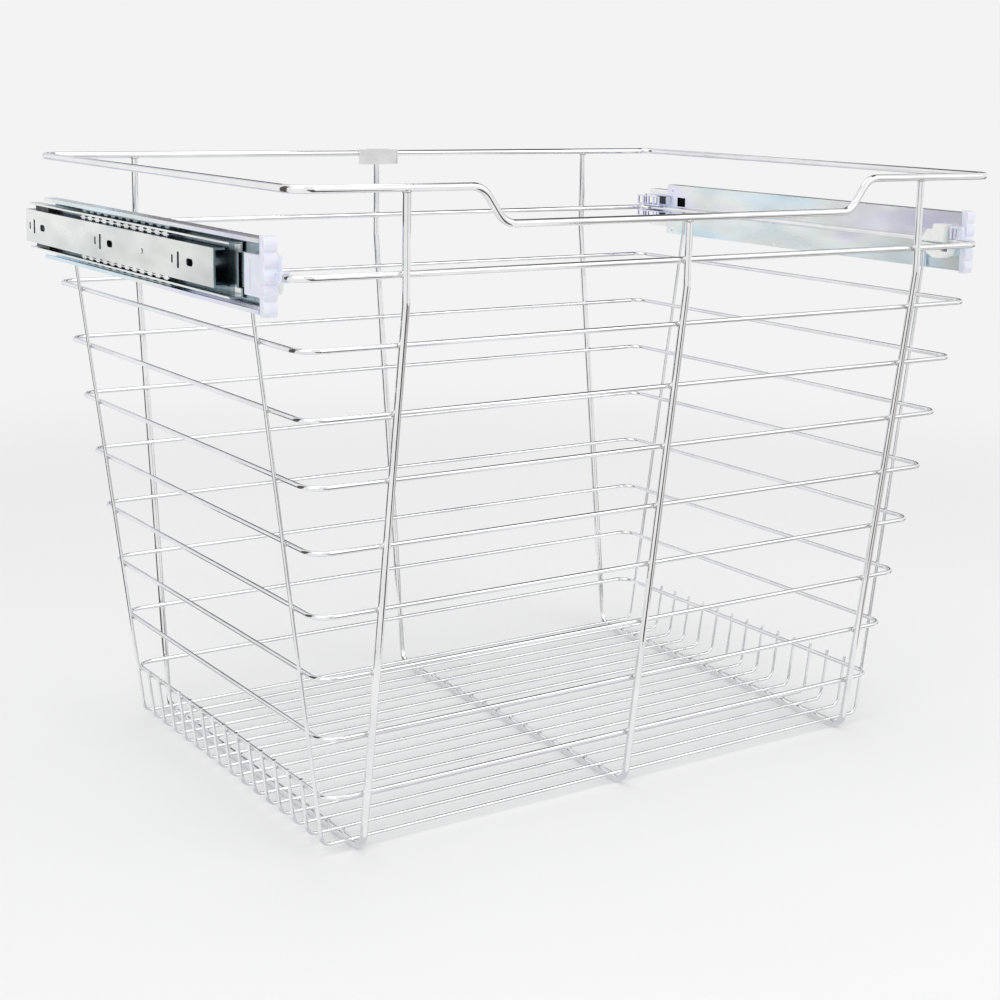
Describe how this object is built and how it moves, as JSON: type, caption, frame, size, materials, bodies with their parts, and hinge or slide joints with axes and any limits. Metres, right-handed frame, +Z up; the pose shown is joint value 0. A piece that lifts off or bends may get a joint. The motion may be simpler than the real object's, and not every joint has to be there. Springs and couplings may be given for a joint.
{
  "type": "pull out cabinet basket",
  "caption": "Tapered chrome wire basket that pulls out of a cabinet on a pair of telescopic ball-bearing slides, with a hand dip in its front rim.",
  "frame": {"origin": "on the ground under the middle of the basket, at the underside of the upright wires' bottom runs", "axes": "+X to the right seen from the front, +Y towards the back of the cabinet, +Z up; the basket pulls out along -Y"},
  "size_m": [0.5876, 0.408, 0.4266],
  "materials": {
    "frame_chrome": "polished chrome plate on bent steel wire",
    "thin_wire_chrome": "polished chrome plate on thin steel wire",
    "badge_chrome": "polished, blank",
    "slide_zinc": "zinc plated sheet steel with a faint blue and rose sheen",
    "cage_steel": "bright thin sheet steel",
    "ball_steel": "polished steel balls",
    "cap_plastic": "bluish white, slightly see-through moulding",
    "clamp_plastic": "natural white moulding",
    "stop_plastic": "black moulding"
  },
  "bodies": {
    "cabinet_side": {"left_cabinet_rail": "slide_zinc", "left_stop_block": "stop_plastic", "right_cabinet_rail": "slide_zinc", "right_stop_block": "stop_plastic"},
    "basket": {"top_frame": "frame_chrome", "slide_frame": "frame_chrome", "side_ring_1": "frame_chrome", "side_ring_2": "frame_chrome", "side_ring_3": "frame_chrome", "side_ring_4": "frame_chrome", "side_ring_5": "frame_chrome", "side_ring_6": "frame_chrome", "side_ring_7": "frame_chrome", "side_ring_8": "frame_chrome", "left_upright": "frame_chrome", "middle_upright": "frame_chrome", "right_upright": "frame_chrome", "front_hoop": "thin_wire_chrome", "rear_hoop": "thin_wire_chrome", "floor_wire_1": "thin_wire_chrome", "floor_wire_2": "thin_wire_chrome", "floor_wire_3": "thin_wire_chrome", "floor_wire_4": "thin_wire_chrome", "floor_wire_5": "thin_wire_chrome", "floor_wire_6": "thin_wire_chrome", "floor_wire_7": "thin_wire_chrome", "floor_wire_8": "thin_wire_chrome", "floor_wire_9": "thin_wire_chrome", "floor_wire_10": "thin_wire_chrome", "floor_wire_11": "thin_wire_chrome", "floor_wire_12": "thin_wire_chrome", "floor_wire_13": "thin_wire_chrome", "floor_wire_14": "thin_wire_chrome", "badge_plate": "badge_chrome", "left_basket_rail": "slide_zinc", "left_front_cap": "cap_plastic", "left_wire_clamp": "clamp_plastic", "right_basket_rail": "slide_zinc", "right_front_cap": "cap_plastic", "right_wire_clamp": "clamp_plastic"},
    "left_middle": {"left_middle_rail": "slide_zinc"},
    "left_outer_race": {"left_outer_cage": "cage_steel", "left_outer_balls": "ball_steel"},
    "left_inner_race": {"left_inner_cage": "cage_steel", "left_inner_balls": "ball_steel"},
    "right_middle": {"right_middle_rail": "slide_zinc"},
    "right_outer_race": {"right_outer_cage": "cage_steel", "right_outer_balls": "ball_steel"},
    "right_inner_race": {"right_inner_cage": "cage_steel", "right_inner_balls": "ball_steel"}
  },
  "joints": [
    {"name": "basket_pull", "type": "slide", "parent": "cabinet_side", "child": "basket", "axis": [0, -1, 0], "range_m": [0, 0.32]},
    {"name": "left_middle_slide", "type": "slide", "parent": "cabinet_side", "child": "left_middle", "axis": [0, -1, 0], "range_m": [0, 0.16]},
    {"name": "left_outer_race_slide", "type": "slide", "parent": "cabinet_side", "child": "left_outer_race", "axis": [0, -1, 0], "range_m": [0, 0.08]},
    {"name": "left_inner_race_slide", "type": "slide", "parent": "cabinet_side", "child": "left_inner_race", "axis": [0, -1, 0], "range_m": [0, 0.24]},
    {"name": "right_middle_slide", "type": "slide", "parent": "cabinet_side", "child": "right_middle", "axis": [0, -1, 0], "range_m": [0, 0.16]},
    {"name": "right_outer_race_slide", "type": "slide", "parent": "cabinet_side", "child": "right_outer_race", "axis": [0, -1, 0], "range_m": [0, 0.08]},
    {"name": "right_inner_race_slide", "type": "slide", "parent": "cabinet_side", "child": "right_inner_race", "axis": [0, -1, 0], "range_m": [0, 0.24]}
  ],
  "couplings": [
    {"joint": "left_middle_slide", "follows": "basket_pull", "ratio": 0.5},
    {"joint": "left_outer_race_slide", "follows": "basket_pull", "ratio": 0.25},
    {"joint": "left_inner_race_slide", "follows": "basket_pull", "ratio": 0.75},
    {"joint": "right_middle_slide", "follows": "basket_pull", "ratio": 0.5},
    {"joint": "right_outer_race_slide", "follows": "basket_pull", "ratio": 0.25},
    {"joint": "right_inner_race_slide", "follows": "basket_pull", "ratio": 0.75}
  ]
}
